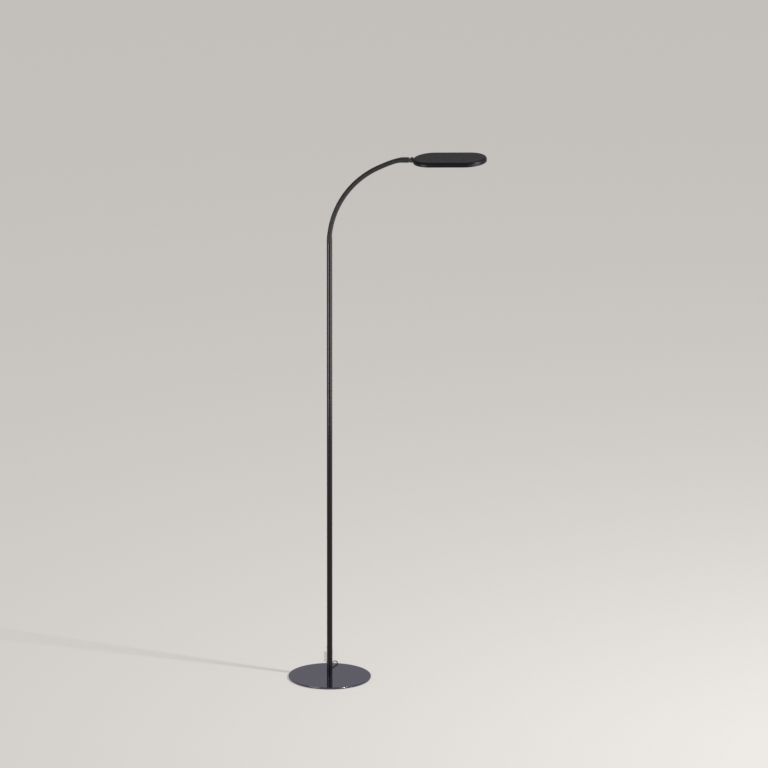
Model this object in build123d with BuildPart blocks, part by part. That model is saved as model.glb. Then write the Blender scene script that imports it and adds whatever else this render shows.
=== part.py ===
from build123d import *
import math
import os

os.makedirs("parts", exist_ok=True)

# Gooseneck reading floor lamp, in millimetres.
# Z points up, X is the way the arm reaches out, and the origin is the middle of the
# underside that rests on the floor.

# ---- Base ---------------------------------------------------------------------------
base_diameter = 240
base_thickness = 5
base_edge_radius = 1.2
pad_thickness = 1
pad_margin = 4  # bare rim of the plate around the foam sheet

# ---- Pole ---------------------------------------------------------------------------
pole_diameter = 16
pole_wall = 1.2
lower_pole_length = 867
upper_pole_length = 447
seam_chamfer = 0.5  # where the two tubes meet
wire_bore_radius = 2.4  # the way for the lead through every insert and neck link
foot_insert_length = 12
foot_screw_radius = 3
foot_screw_length = 13
foot_screw_head_radius = 5.6
foot_screw_head_depth = 2.6
foot_screw_hex = 4  # across the flats
foot_screw_hex_depth = 1.6
foot_screw_recess = 0.2  # how far the head lies inside the plate
screw_clearance = 0.05  # radial, round every simplified thread
joint_socket_length = 26
joint_stud_length = 26
joint_thread_radius = 4.5
joint_thread_length = 18

# ---- Gooseneck ----------------------------------------------------------------------
collar_height = 18  # from the pole's top to the first ball centre
collar_foot_radius = 7.85
collar_top_radius = 7.0
collar_spigot_length = 22
neck_diameter = 12
neck_link_count = 11
neck_start_lean = 5  # degrees from upright at the first ball
neck_lower_radius = 269
neck_lower_bend = 57.5  # degrees
neck_upper_radius = 700
neck_upper_bend = 5.2  # degrees
ball_radius = 4.9
ball_clearance = 0.1
ball_neck_radius = 3.2
socket_lip = 1.6  # how far a socket reaches past its ball's centre
shoulder_gap = 4.4  # from a ball's centre to the shoulder behind it
neck_chamfer = 0.4

# ---- Arm end and tilt joint ---------------------------------------------------------
ferrule_diameter = 13.2
ferrule_length = 33.6  # from the last ball centre to the ferrule's flat end
ferrule_chamfer = 0.6
tilt_pin_distance = 7.1  # from the ferrule's flat end to the pin
tongue_thickness = 4.8
tongue_radius = 4.0
washer_thickness = 0.5
cheek_thickness = 3.2
cheek_radius = 6.8
tilt_pin_radius = 2.0
pin_clearance = 0.05
pin_head_radius = 3.5
pin_head_height = 1.2
pin_nut_height = 1.6
pin_slot_width = 0.9
pin_slot_depth = 0.5

# ---- Lamp head ----------------------------------------------------------------------
head_length = 216
head_width = 115
head_thickness = 14
head_pitch = 3.4  # degrees, tip up
head_end_gap = 4.5  # from the tilt pin to the end of the head
top_edge_radius = 6.5
bottom_edge_radius = 2.5
shell_wall = 1.8
split_chamfer = 0.3  # where the cover and the frame meet
frame_height = 3.5
frame_lip = 1.2
rim_width = 11.6  # from the head's outline to the light window
diffuser_thickness = 2
diffuser_inset = 7.7
guide_thickness = 3
guide_inset = 11.2
reflector_thickness = 0.4
tray_thickness = 1.2
tray_inset = 7.9
tray_flange_drop = 3.2
fit_gap = 0.3
led_board_thickness = 1.0
led_board_height = 3.0
led_size = 2.6
led_height = 0.8
led_pitch = 8
led_count = 12  # on each long side
frame_screw_inset = 5
frame_screw_radius = 0.95
frame_screw_head_radius = 1.8
frame_screw_head_depth = 0.85
frame_screw_length = 8
frame_screw_angle = 45  # degrees round each end
boss_radius = 2.1
post_radius = 3
fork_foot_thickness = 2.4
fork_foot_setback = 5  # from the head's end to the start of the fork's foot
fork_foot_length = 19
fork_foot_width = 18
fork_screw_setback = 14
fork_screw_spacing = 10
fork_screw_radius = 1.2
fork_screw_head_radius = 2.2
fork_screw_head_height = 1.1
driver_length = 62
driver_width = 30
driver_gap = 6  # from the fork's foot to the driver
driver_board_thickness = 1.2
insulator_thickness = 0.3
insulator_margin = 2
inductor_radius = 5
inductor_height = 2.4
chip_size = 5
chip_height = 1.4
capacitor_radius = 2.5
capacitor_height = 2.2
touch_radius = 7
touch_thickness = 0.2

# ---- Lead ---------------------------------------------------------------------------
lead_diameter = 2.2
lead_bearing = 11  # degrees from the Y axis, towards -X, along which the lead is put away
lead_exit_height = 23
corner_share = 0.45  # of a run of the lead, taken up by the arc at each of its ends
bush_hole_radius = 2.2
bush_flange_radius = 3.2
bush_flange_thickness = 1
bush_nose_length = 4
lead_gap = 0.1  # round the lead in its bush
bush_lead_out = 9  # straight lead past the bush
strand_gap = 0.6  # between the turns of the hank
hank_fold_radius = 4.51
hank_fold_growth = 3.5  # from the innermost fold to the outermost strand
hank_span = 79.4  # between the middles of the two folds
hank_near_depth = 154  # from the pole's axis to the middle of the near fold
hank_draw_in = 2.2
hank_layer_count = 4
strands_per_layer = 3
hank_lead_in = 14  # straight lead before the hank
tail_run = 7  # straight lead after the hank
tail_plug_run = 10  # straight lead before the plug
plug_gap = 22  # from the hank's outermost strand to the plug
strap_width = 6
strap_thickness = 0.5
strap_gap = 0.2
plug_body_radius = 4.75
plug_body_length = 20
plug_relief_length = 12
plug_barrel_radius = 2.75
plug_barrel_length = 9.5
plug_bore_radius = 1.05
plug_edge = 0.8
plug_relief_wall = 0.9  # round the lead at the thin end of the relief
plug_relief_step = 1  # from the relief's thick end out to the body

# ---- Places that follow from the sizes ----------------------------------------------
base_top = pad_thickness + base_thickness
seam_height = base_top + lower_pole_length
pole_top = seam_height + upper_pole_length
pole_radius = pole_diameter / 2
pole_bore_radius = pole_radius - pole_wall
insert_radius = pole_bore_radius  # the slugs and the collar are pressed into the tubes
lead_radius = lead_diameter / 2
neck_radius = neck_diameter / 2
socket_radius = ball_radius + ball_clearance
first_ball_height = pole_top + collar_height


# ---- Shared shapes ------------------------------------------------------------------
def leaning(angle):
    """Direction that leans by an angle in degrees from upright towards +X."""
    return Vector(math.sin(math.radians(angle)), 0, math.cos(math.radians(angle)))


def section_plane(origin, lean):
    """Plane through a turned piece's axis: local x is the radius, local y runs along the axis."""
    return Plane(origin=origin, x_dir=leaning(lean + 90), z_dir=(0, -1, 0))


def neck_point(distance):
    """Place on the neck's rest curve, which is one arc and then a flatter one."""
    start = math.radians(neck_start_lean)
    change = start + math.radians(neck_lower_bend)
    lower_length = neck_lower_radius * (change - start)
    x = 0
    z = first_ball_height
    bend = min(distance, lower_length) / neck_lower_radius
    x += neck_lower_radius * (math.cos(start) - math.cos(start + bend))
    z += neck_lower_radius * (math.sin(start + bend) - math.sin(start))
    if distance > lower_length:
        bend = (distance - lower_length) / neck_upper_radius
        x += neck_upper_radius * (math.cos(change) - math.cos(change + bend))
        z += neck_upper_radius * (math.sin(change + bend) - math.sin(change))
    return Vector(x, 0, z)


def lean_between(start, end):
    """Lean in degrees of the line from one ball centre to the next."""
    return math.degrees(math.atan2(end.X - start.X, end.Z - start.Z))


neck_length = neck_lower_radius * math.radians(neck_lower_bend)
neck_length += neck_upper_radius * math.radians(neck_upper_bend)
ball_centres = [neck_point(neck_length * i / neck_link_count) for i in range(neck_link_count + 1)]
ball_leans = [lean_between(ball_centres[i], ball_centres[i + 1]) for i in range(neck_link_count)]
for number, centre in enumerate(ball_centres):
    print(f"ball {number}: x {centre.X:.2f}, z {centre.Z:.2f}")
print("link leans:", [round(lean, 2) for lean in ball_leans])


def draw_ball():
    """Outline of a ball and its neck, from the wire bore to the shoulder's inner corner."""
    bottom = (wire_bore_radius, -math.sqrt(ball_radius**2 - wire_bore_radius**2))
    top = (ball_neck_radius, math.sqrt(ball_radius**2 - ball_neck_radius**2))
    ThreePointArc(bottom, (ball_radius, 0), top)
    Line(top, (ball_neck_radius, shoulder_gap))
    return bottom, (ball_neck_radius, shoulder_gap)


def draw_socket(height, outer_radius):
    """Outline of a socket round a ball centre, from its outer rim to the wire bore."""
    rim = height + socket_lip
    outer = (outer_radius, rim - neck_chamfer)
    edge = (outer_radius - neck_chamfer, rim)
    lip = (math.sqrt(socket_radius**2 - socket_lip**2), rim)
    middle = (socket_radius * math.cos(math.pi / 6), height - socket_radius * math.sin(math.pi / 6))
    floor = (wire_bore_radius, height - math.sqrt(socket_radius**2 - wire_bore_radius**2))
    Line(outer, edge)
    Line(edge, lip)
    ThreePointArc(lip, middle, floor)
    return outer, floor


# ---- Base plate: steel disc, rounded edges, countersunk from below for the foot screw ---
screw_head_bottom = pad_thickness + foot_screw_recess
screw_hole_radius = foot_screw_radius + screw_clearance
countersink_top = screw_head_bottom + foot_screw_head_depth - screw_clearance
with BuildPart() as base_plate:
    with BuildSketch(Plane.XY.offset(pad_thickness)):
        Circle(base_diameter / 2)
    extrude(amount=base_thickness)
    fillet(base_plate.edges().filter_by(GeomType.CIRCLE), radius=base_edge_radius)
    with BuildSketch(Plane.XZ):
        with BuildLine():
            Polyline(
                (0, pad_thickness),
                (foot_screw_head_radius + foot_screw_recess, pad_thickness),
                (screw_hole_radius, countersink_top),
                (screw_hole_radius, base_top),
                (0, base_top),
                close=True,
            )
        make_face()
    revolve(axis=Axis.Z, mode=Mode.SUBTRACT)
base_plate.part.label = "base_plate"
export_step(base_plate.part, "parts/base_plate.step")

# Foam sheet stuck under the plate once the foot screw is in.
with BuildPart() as base_pad:
    with BuildSketch():
        Circle(base_diameter / 2 - pad_margin)
    extrude(amount=pad_thickness)
base_pad.part.label = "base_pad"
export_step(base_pad.part, "parts/base_pad.step")

# Foot screw: countersunk head with a hexagon recess, its thread drawn as a plain shank.
with BuildPart() as foot_screw:
    with BuildSketch(Plane.XZ):
        with BuildLine():
            Polyline(
                (0, screw_head_bottom),
                (foot_screw_head_radius, screw_head_bottom),
                (foot_screw_radius, screw_head_bottom + foot_screw_head_depth),
                (foot_screw_radius, screw_head_bottom + foot_screw_length),
                (0, screw_head_bottom + foot_screw_length),
                close=True,
            )
        make_face()
    revolve(axis=Axis.Z)
    with BuildSketch(Plane.XY.offset(screw_head_bottom)):
        RegularPolygon(foot_screw_hex / 2, 6, major_radius=False)
    extrude(amount=foot_screw_hex_depth, mode=Mode.SUBTRACT)
foot_screw.part.label = "foot_screw"
export_step(foot_screw.part, "parts/foot_screw.step")

# ---- Poles: two steel tubes that meet at a seam ------------------------------------------
with BuildPart() as foot_insert:
    with BuildSketch(Plane.XY.offset(base_top)):
        Circle(insert_radius)
        Circle(screw_hole_radius, mode=Mode.SUBTRACT)
    extrude(amount=foot_insert_length)
foot_insert.part.label = "foot_insert"
export_step(foot_insert.part, "parts/foot_insert.step")

with BuildPart() as lower_pole:
    with BuildSketch(Plane.XY.offset(base_top)):
        Circle(pole_radius)
        Circle(pole_bore_radius, mode=Mode.SUBTRACT)
    extrude(amount=lower_pole_length)
    top_face = lower_pole.faces().sort_by(Axis.Z)[-1]
    chamfer(top_face.outer_wire().edges(), length=seam_chamfer)
    with BuildSketch(Plane.XZ):
        with Locations((0, lead_exit_height)):
            Circle(bush_hole_radius + screw_clearance)
    extrude(amount=-pole_diameter, mode=Mode.SUBTRACT)
lower_pole.part.label = "lower_pole"
export_step(lower_pole.part, "parts/lower_pole.step")

with BuildPart() as joint_socket:
    with BuildSketch(Plane.XY.offset(seam_height - joint_socket_length)):
        Circle(insert_radius)
        Circle(joint_thread_radius + screw_clearance, mode=Mode.SUBTRACT)
    extrude(amount=joint_socket_length)
joint_socket.part.label = "joint_socket"
export_step(joint_socket.part, "parts/joint_socket.step")

with BuildPart() as joint_stud:
    with BuildSketch(Plane.XY.offset(seam_height)):
        Circle(insert_radius)
    extrude(amount=joint_stud_length)
    with BuildSketch(Plane.XY.offset(seam_height)):
        Circle(joint_thread_radius)
    extrude(amount=-joint_thread_length)
    with BuildSketch(Plane.XY.offset(seam_height - joint_thread_length)):
        Circle(wire_bore_radius)
    extrude(amount=joint_thread_length + joint_stud_length, mode=Mode.SUBTRACT)
joint_stud.part.label = "joint_stud"
export_step(joint_stud.part, "parts/joint_stud.step")

with BuildPart() as upper_pole:
    with BuildSketch(Plane.XY.offset(seam_height)):
        Circle(pole_radius)
        Circle(pole_bore_radius, mode=Mode.SUBTRACT)
    extrude(amount=upper_pole_length)
    bottom_face = upper_pole.faces().sort_by(Axis.Z)[0]
    chamfer(bottom_face.outer_wire().edges(), length=seam_chamfer)
upper_pole.part.label = "upper_pole"
export_step(upper_pole.part, "parts/upper_pole.step")

# ---- Neck collar: tapered ferrule pressed into the pole, with the first socket -------------
with BuildPart() as neck_collar:
    with BuildSketch(section_plane((0, 0, first_ball_height), 0)):
        with BuildLine():
            outer, floor = draw_socket(0, collar_top_radius)
            Polyline(
                floor,
                (wire_bore_radius, -collar_height - collar_spigot_length),
                (insert_radius, -collar_height - collar_spigot_length),
                (insert_radius, -collar_height),
                (collar_foot_radius, -collar_height),
                outer,
            )
        make_face()
    revolve(axis=Axis.Z)
neck_collar.part.label = "neck_collar"
export_step(neck_collar.part, "parts/neck_collar.step")


# ---- Gooseneck links: each has a ball at its foot and a socket for the next ball -----------
def make_neck_link(start, end):
    """One turned link between two ball centres, bored for the lead."""
    lean = lean_between(start, end)
    length = (end - start).length
    with BuildPart() as link:
        with BuildSketch(section_plane(start, lean)):
            with BuildLine():
                bottom, corner = draw_ball()
                outer, floor = draw_socket(length, neck_radius)
                Polyline(
                    corner,
                    (neck_radius - neck_chamfer, shoulder_gap),
                    (neck_radius, shoulder_gap + neck_chamfer),
                    outer,
                )
                Line(floor, bottom)
            make_face()
        revolve(axis=Axis(start, leaning(lean)))
    return link.part


for number in range(neck_link_count):
    neck_link = make_neck_link(ball_centres[number], ball_centres[number + 1])
    neck_link.label = f"neck_link_{number + 1:02d}"
    export_step(neck_link, f"parts/neck_link_{number + 1:02d}.step")

# ---- Arm end ferrule: in line with the head, with the last ball and the tilt joint's tongue --
arm_end = ball_centres[-1]
arm_end_lean = 90 - head_pitch
pin_centre = arm_end + leaning(arm_end_lean) * (ferrule_length + tilt_pin_distance)
pin_plane = Plane(origin=pin_centre, x_dir=leaning(arm_end_lean), z_dir=(0, -1, 0))
ferrule_radius = ferrule_diameter / 2
print(f"tilt pin: x {pin_centre.X:.2f}, z {pin_centre.Z:.2f}")

with BuildPart() as neck_ferrule:
    with BuildSketch(section_plane(arm_end, arm_end_lean)):
        with BuildLine():
            bottom, corner = draw_ball()
            Polyline(
                corner,
                (ferrule_radius - ferrule_chamfer, shoulder_gap),
                (ferrule_radius, shoulder_gap + ferrule_chamfer),
                (ferrule_radius, ferrule_length - ferrule_chamfer),
                (ferrule_radius - ferrule_chamfer, ferrule_length),
                (0, ferrule_length),
                (0, ferrule_length - shoulder_gap),
                (wire_bore_radius, ferrule_length - shoulder_gap),
                bottom,
            )
        make_face()
    revolve(axis=Axis(arm_end, leaning(arm_end_lean)))
    with BuildSketch(pin_plane.offset(-tongue_thickness / 2)):
        Circle(tongue_radius)
        with Locations((-tilt_pin_distance / 2 - ferrule_chamfer, 0)):
            Rectangle(tilt_pin_distance + 2 * ferrule_chamfer, 2 * tongue_radius)
        Circle(tilt_pin_radius + pin_clearance, mode=Mode.SUBTRACT)
    extrude(amount=tongue_thickness)
neck_ferrule.part.label = "neck_ferrule"
export_step(neck_ferrule.part, "parts/neck_ferrule.step")

# ---- Lamp head: every level is measured from the pin, square to the head's length ----------
head_forward = leaning(90 - head_pitch)
head_up = leaning(-head_pitch)
head_plane = Plane(origin=pin_centre, x_dir=head_forward, z_dir=head_up)
head_axis = Axis(pin_centre, head_up)
head_middle = head_end_gap + head_length / 2
end_circle_offset = (head_length - head_width) / 2
head_bottom = -head_thickness / 2
head_top = head_thickness / 2
split_level = head_bottom + frame_height
shell_ceiling = head_top - shell_wall
lip_level = head_bottom + frame_lip
guide_level = lip_level + diffuser_thickness
reflector_level = guide_level + guide_thickness
tray_level = reflector_level + reflector_thickness
tray_top = tray_level + tray_thickness
cheek_inside = tongue_thickness / 2 + washer_thickness
cheek_outside = cheek_inside + cheek_thickness
stem_bottom = split_level + fit_gap
stem_top = tray_top + fork_foot_thickness
fork_foot_start = head_end_gap + fork_foot_setback
fork_foot_end = fork_foot_start + fork_foot_length
fork_screw_along = head_end_gap + fork_screw_setback
fork_screw_spots = [(fork_screw_along, i * fork_screw_spacing / 2) for i in (-1, 1)]
fork_wire_level = (stem_bottom + stem_top) / 2


def head_outline(inset):
    """The head's outline, a bar with round ends, drawn in by an inset."""
    with Locations((head_middle, 0)):
        SlotOverall(head_length - 2 * inset, head_width - 2 * inset)


def frame_screw_spots(mirror_sides):
    """Places of the four frame screws, round both ends of the head."""
    reach = head_width / 2 - frame_screw_inset
    along = end_circle_offset + reach * math.cos(math.radians(frame_screw_angle))
    across = reach * math.sin(math.radians(frame_screw_angle))
    return [(head_middle + i * along, j * across * mirror_sides) for i in (-1, 1) for j in (-1, 1)]


# Fork: two cheeks on the tilt pin, a stem through the shell's end and a foot on the tray.
with BuildPart() as head_fork:
    with BuildSketch(pin_plane.offset(-cheek_outside)):
        Circle(cheek_radius)
        with Locations((head_end_gap - fit_gap + cheek_radius, 0)):
            Rectangle(2 * cheek_radius, 2 * cheek_radius, mode=Mode.SUBTRACT)
        with Locations((0, stem_bottom)):
            stem_length = head_end_gap + tray_inset - fit_gap
            Rectangle(stem_length, stem_top - stem_bottom, align=(Align.MIN, Align.MIN))
    extrude(amount=2 * cheek_outside)
    with BuildSketch(pin_plane.offset(-cheek_inside)):
        with Locations((-cheek_radius, 0)):
            Rectangle(cheek_radius + head_end_gap, 3 * cheek_radius, align=(Align.MIN, Align.CENTER))
    extrude(amount=2 * cheek_inside, mode=Mode.SUBTRACT)
    with BuildSketch(head_plane.offset(tray_top)):
        with Locations(((fork_foot_start + fork_foot_end) / 2, 0)):
            Rectangle(fork_foot_length, fork_foot_width)
    extrude(amount=stem_top - tray_top)
    with BuildSketch(head_plane.offset(tray_top)):
        with Locations(*fork_screw_spots):
            Circle(fork_screw_radius + screw_clearance)
    extrude(amount=stem_top - tray_top, mode=Mode.SUBTRACT)
    with BuildSketch(Plane(origin=pin_centre, x_dir=(0, 1, 0), z_dir=head_forward)):
        with Locations((0, fork_wire_level)):
            Circle(lead_radius + lead_gap)
    extrude(amount=fork_foot_end, mode=Mode.SUBTRACT)
    with BuildSketch(pin_plane.offset(-cheek_outside)):
        Circle(tilt_pin_radius + pin_clearance)
    extrude(amount=2 * cheek_outside, mode=Mode.SUBTRACT)
head_fork.part.label = "head_fork"
export_step(head_fork.part, "parts/head_fork.step")

with BuildPart() as tilt_washers:
    for washer_level in (-cheek_inside, tongue_thickness / 2):
        with BuildSketch(pin_plane.offset(washer_level)):
            Circle(tongue_radius)
            Circle(tilt_pin_radius + pin_clearance, mode=Mode.SUBTRACT)
        extrude(amount=washer_thickness)
tilt_washers.part.label = "tilt_washers"
export_step(tilt_washers.part, "parts/tilt_washers.step")

# Tilt pin: a shoulder screw whose slotted head shows on the near cheek.
with BuildPart() as tilt_pin:
    with BuildSketch(pin_plane.offset(-cheek_outside)):
        Circle(tilt_pin_radius)
    extrude(amount=2 * cheek_outside)
    with BuildSketch(pin_plane.offset(cheek_outside)):
        Circle(pin_head_radius)
    extrude(amount=pin_head_height)
    with BuildSketch(pin_plane.offset(cheek_outside + pin_head_height)):
        Rectangle(2 * pin_head_radius, pin_slot_width)
    extrude(amount=-pin_slot_depth, mode=Mode.SUBTRACT)
tilt_pin.part.label = "tilt_pin"
export_step(tilt_pin.part, "parts/tilt_pin.step")

with BuildPart() as tilt_nut:
    with BuildSketch(pin_plane.offset(-cheek_outside)):
        Circle(pin_head_radius)
    extrude(amount=-pin_nut_height)
    chamfer(tilt_nut.faces().sort_by(Axis.Y)[-1].edges(), length=neck_chamfer)
tilt_nut.part.label = "tilt_nut"
export_step(tilt_nut.part, "parts/tilt_nut.step")

with BuildPart() as fork_screws:
    with BuildSketch(head_plane.offset(tray_level)):
        with Locations(*fork_screw_spots):
            Circle(fork_screw_radius)
    extrude(amount=stem_top - tray_level)
    with BuildSketch(head_plane.offset(stem_top)):
        with Locations(*fork_screw_spots):
            Circle(fork_screw_head_radius)
    extrude(amount=fork_screw_head_height)
fork_screws.part.label = "fork_screws"
export_step(fork_screws.part, "parts/fork_screws.step")

# Top shell: one moulded cover with a large rounded edge, screw bosses and four posts that
# press on the tray, open below, and notched at the neck end for the fork's stem.
post_corners = [(i, j) for i in (-1, 1) for j in (-1, 1)]
post_spots = [(head_middle + i * end_circle_offset, j * head_width / 4) for i, j in post_corners]
with BuildPart() as head_top_shell:
    with BuildSketch(head_plane.offset(split_level)):
        head_outline(0)
    extrude(amount=head_top - split_level)
    fillet(head_top_shell.faces().sort_by(head_axis)[-1].edges(), radius=top_edge_radius)
    offset(amount=-shell_wall, openings=head_top_shell.faces().sort_by(head_axis)[0])
    shell_rim = head_top_shell.faces().sort_by(head_axis)[0]
    chamfer(shell_rim.outer_wire().edges(), length=split_chamfer)
    with BuildSketch(head_plane.offset(split_level)):
        with Locations(*frame_screw_spots(1)):
            Circle(boss_radius)
    extrude(amount=shell_ceiling - split_level + fit_gap)
    with BuildSketch(head_plane.offset(split_level)):
        with Locations(*frame_screw_spots(1)):
            Circle(frame_screw_radius + screw_clearance)
    extrude(amount=frame_screw_length - frame_height + fit_gap, mode=Mode.SUBTRACT)
    with BuildSketch(head_plane.offset(tray_top)):
        with Locations(*post_spots):
            Circle(post_radius)
    extrude(amount=shell_ceiling - tray_top + fit_gap)
    with BuildSketch(head_plane.offset(split_level)):
        notch_width = 2 * (cheek_outside + fit_gap)
        Rectangle(head_end_gap + 2 * shell_wall, notch_width, align=(Align.MIN, Align.CENTER))
    extrude(amount=stem_top + fit_gap - split_level, mode=Mode.SUBTRACT)
head_top_shell.part.label = "head_top_shell"
export_step(head_top_shell.part, "parts/head_top_shell.step")

# Bottom frame: the rim round the light window, with a lip that carries the diffuser.
frame_underside = Plane(origin=head_plane.offset(head_bottom).origin, x_dir=head_forward, z_dir=-head_up)
with BuildPart() as head_bottom_frame:
    with BuildSketch(head_plane.offset(head_bottom)):
        head_outline(0)
    extrude(amount=frame_height)
    fillet(head_bottom_frame.faces().sort_by(head_axis)[0].edges(), radius=bottom_edge_radius)
    chamfer(head_bottom_frame.faces().sort_by(head_axis)[-1].edges(), length=split_chamfer)
    with BuildSketch(head_plane.offset(head_bottom)):
        head_outline(rim_width)
    extrude(amount=frame_height, mode=Mode.SUBTRACT)
    with BuildSketch(head_plane.offset(lip_level)):
        head_outline(diffuser_inset - fit_gap)
    extrude(amount=frame_height, mode=Mode.SUBTRACT)
    with Locations(frame_underside):
        with Locations(*frame_screw_spots(-1)):
            CounterSinkHole(
                radius=frame_screw_radius + screw_clearance,
                counter_sink_radius=frame_screw_head_radius,
                depth=frame_height,
                counter_sink_angle=90,
            )
head_bottom_frame.part.label = "head_bottom_frame"
export_step(head_bottom_frame.part, "parts/head_bottom_frame.step")

with BuildPart() as frame_screws:
    with Locations(frame_underside):
        with Locations(*frame_screw_spots(-1)):
            Cone(
                bottom_radius=frame_screw_head_radius - frame_screw_head_depth,
                top_radius=frame_screw_head_radius,
                height=frame_screw_head_depth,
                align=(Align.CENTER, Align.CENTER, Align.MAX),
            )
            Cylinder(
                radius=frame_screw_radius,
                height=frame_screw_length,
                align=(Align.CENTER, Align.CENTER, Align.MAX),
            )
frame_screws.part.label = "frame_screws"
export_step(frame_screws.part, "parts/frame_screws.step")


# ---- Light stack: diffuser, light guide, reflector and tray lie on each other ---------------
def make_sheet(level, thickness, inset):
    """A flat sheet with the head's outline drawn in by an inset."""
    with BuildPart() as sheet:
        with BuildSketch(head_plane.offset(level)):
            head_outline(inset)
        extrude(amount=thickness)
    return sheet.part


diffuser = make_sheet(lip_level, diffuser_thickness, diffuser_inset)
diffuser.label = "diffuser"
export_step(diffuser, "parts/diffuser.step")

light_guide = make_sheet(guide_level, guide_thickness, guide_inset)
light_guide.label = "light_guide"
export_step(light_guide, "parts/light_guide.step")

reflector_sheet = make_sheet(reflector_level, reflector_thickness, guide_inset)
reflector_sheet.label = "reflector_sheet"
export_step(reflector_sheet, "parts/reflector_sheet.step")

# Tray: aluminium sheet that spreads the heat, its long edges folded down behind the LEDs.
flange_length = led_count * led_pitch
flange_offset = head_width / 2 - tray_inset - tray_thickness / 2
with BuildPart() as heat_tray:
    with BuildSketch(head_plane.offset(tray_level)):
        head_outline(tray_inset)
    extrude(amount=tray_thickness)
    with BuildSketch(head_plane.offset(tray_level)):
        with Locations((head_middle, -flange_offset), (head_middle, flange_offset)):
            Rectangle(flange_length, tray_thickness)
    extrude(amount=-tray_flange_drop)
    with BuildSketch(head_plane.offset(tray_level)):
        with Locations(*fork_screw_spots):
            Circle(fork_screw_radius + screw_clearance)
    extrude(amount=tray_thickness, mode=Mode.SUBTRACT)
heat_tray.part.label = "heat_tray"
export_step(heat_tray.part, "parts/heat_tray.step")

# Edge-lit LEDs: a strip board stuck to each flange, its LEDs facing the guide's edge.
board_offset = flange_offset - tray_thickness / 2 - led_board_thickness / 2
led_offset = board_offset - led_board_thickness / 2 - led_height / 2
board_middle = tray_level - tray_flange_drop / 2
board_spots = [(head_middle, i * board_offset, board_middle) for i in (-1, 1)]
with BuildPart(head_plane) as led_strips:
    with Locations(*board_spots):
        Box(flange_length, led_board_thickness, led_board_height)
led_strips.part.label = "led_strips"
export_step(led_strips.part, "parts/led_strips.step")

first_led = head_middle - flange_length / 2 + led_pitch / 2
led_places = [first_led + i * led_pitch for i in range(led_count)]
led_spots = [(place, side * led_offset, board_middle) for place in led_places for side in (-1, 1)]
with BuildPart(head_plane) as leds:
    with Locations(*led_spots):
        Box(led_size, led_height, led_size)
leds.part.label = "leds"
export_step(leds.part, "parts/leds.step")

# ---- Driver: board on an insulating sheet on top of the tray, with its larger components ----
driver_start = fork_foot_end + driver_gap
driver_middle = driver_start + driver_length / 2
board_level = tray_top + insulator_thickness
component_level = board_level + driver_board_thickness
with BuildPart() as insulator_sheet:
    with BuildSketch(head_plane.offset(tray_top)):
        with Locations((driver_middle, 0)):
            insulator_length = driver_length + 2 * insulator_margin
            Rectangle(insulator_length, driver_width + 2 * insulator_margin)
    extrude(amount=insulator_thickness)
insulator_sheet.part.label = "insulator_sheet"
export_step(insulator_sheet.part, "parts/insulator_sheet.step")

with BuildPart() as driver_board:
    with BuildSketch(head_plane.offset(board_level)):
        with Locations((driver_middle, 0)):
            Rectangle(driver_length, driver_width)
    extrude(amount=driver_board_thickness)
driver_board.part.label = "driver_board"
export_step(driver_board.part, "parts/driver_board.step")

capacitor_along = driver_middle - driver_length / 4
capacitor_spots = [(capacitor_along, i * driver_width / 4) for i in (-1, 1)]
with BuildPart() as driver_components:
    with BuildSketch(head_plane.offset(component_level)):
        with Locations((driver_middle + driver_length / 4, 0)):
            Circle(inductor_radius)
    extrude(amount=inductor_height)
    with BuildSketch(head_plane.offset(component_level)):
        with GridLocations(2 * chip_size, driver_width / 2, 2, 2):
            with Locations((driver_middle, 0)):
                Rectangle(chip_size, chip_size)
    extrude(amount=chip_height)
    with BuildSketch(head_plane.offset(component_level)):
        with Locations(*capacitor_spots):
            Circle(capacitor_radius)
    extrude(amount=capacitor_height)
driver_components.part.label = "driver_components"
export_step(driver_components.part, "parts/driver_components.step")

# Touch electrode: a foil disc stuck under the shell, which senses a finger through the cover.
with BuildPart() as touch_electrode:
    with BuildSketch(head_plane.offset(shell_ceiling)):
        with Locations((driver_start + driver_length + 2 * touch_radius, 0)):
            Circle(touch_radius)
    extrude(amount=-touch_thickness)
touch_electrode.part.label = "touch_electrode"
export_step(touch_electrode.part, "parts/touch_electrode.step")


# ---- Lead -----------------------------------------------------------------------------------
def put_away(side, depth, height):
    """Place of a point of the lead, by its distances across and along the put-away line."""
    bearing = math.radians(lead_bearing)
    x = side * math.cos(bearing) - depth * math.sin(bearing)
    y = side * math.sin(bearing) + depth * math.cos(bearing)
    return Vector(x, y, height)


def corner_radii(points):
    """The largest radius that the two runs beside each corner allow."""
    radii = []
    for before, corner, after in zip(points, points[1:], points[2:]):
        turn = math.radians((corner - before).get_angle(after - corner))
        shorter_run = min((corner - before).length, (after - corner).length)
        radii.append(corner_share * shorter_run / math.tan(turn / 2))
    return radii


def make_lead(name, points, radii):
    """A round lead along straight runs joined by tangent arcs."""
    with BuildPart() as lead:
        with BuildLine() as route:
            FilletPolyline(*points, radius=radii)
        with BuildSketch(Plane(origin=points[0], z_dir=points[1] - points[0])):
            Circle(lead_radius)
        sweep(path=route.line)
    path = route.wires()[0]
    length = path.length
    share = lead.part.volume / (math.pi * lead_radius**2 * length)
    print(f"{name}: {length:.1f} long, {len(points)} points, volume share {share:.4f}")
    print(f"{name}: radii {[round(radius, 1) for radius in radii]}")
    return lead.part, path


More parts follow.
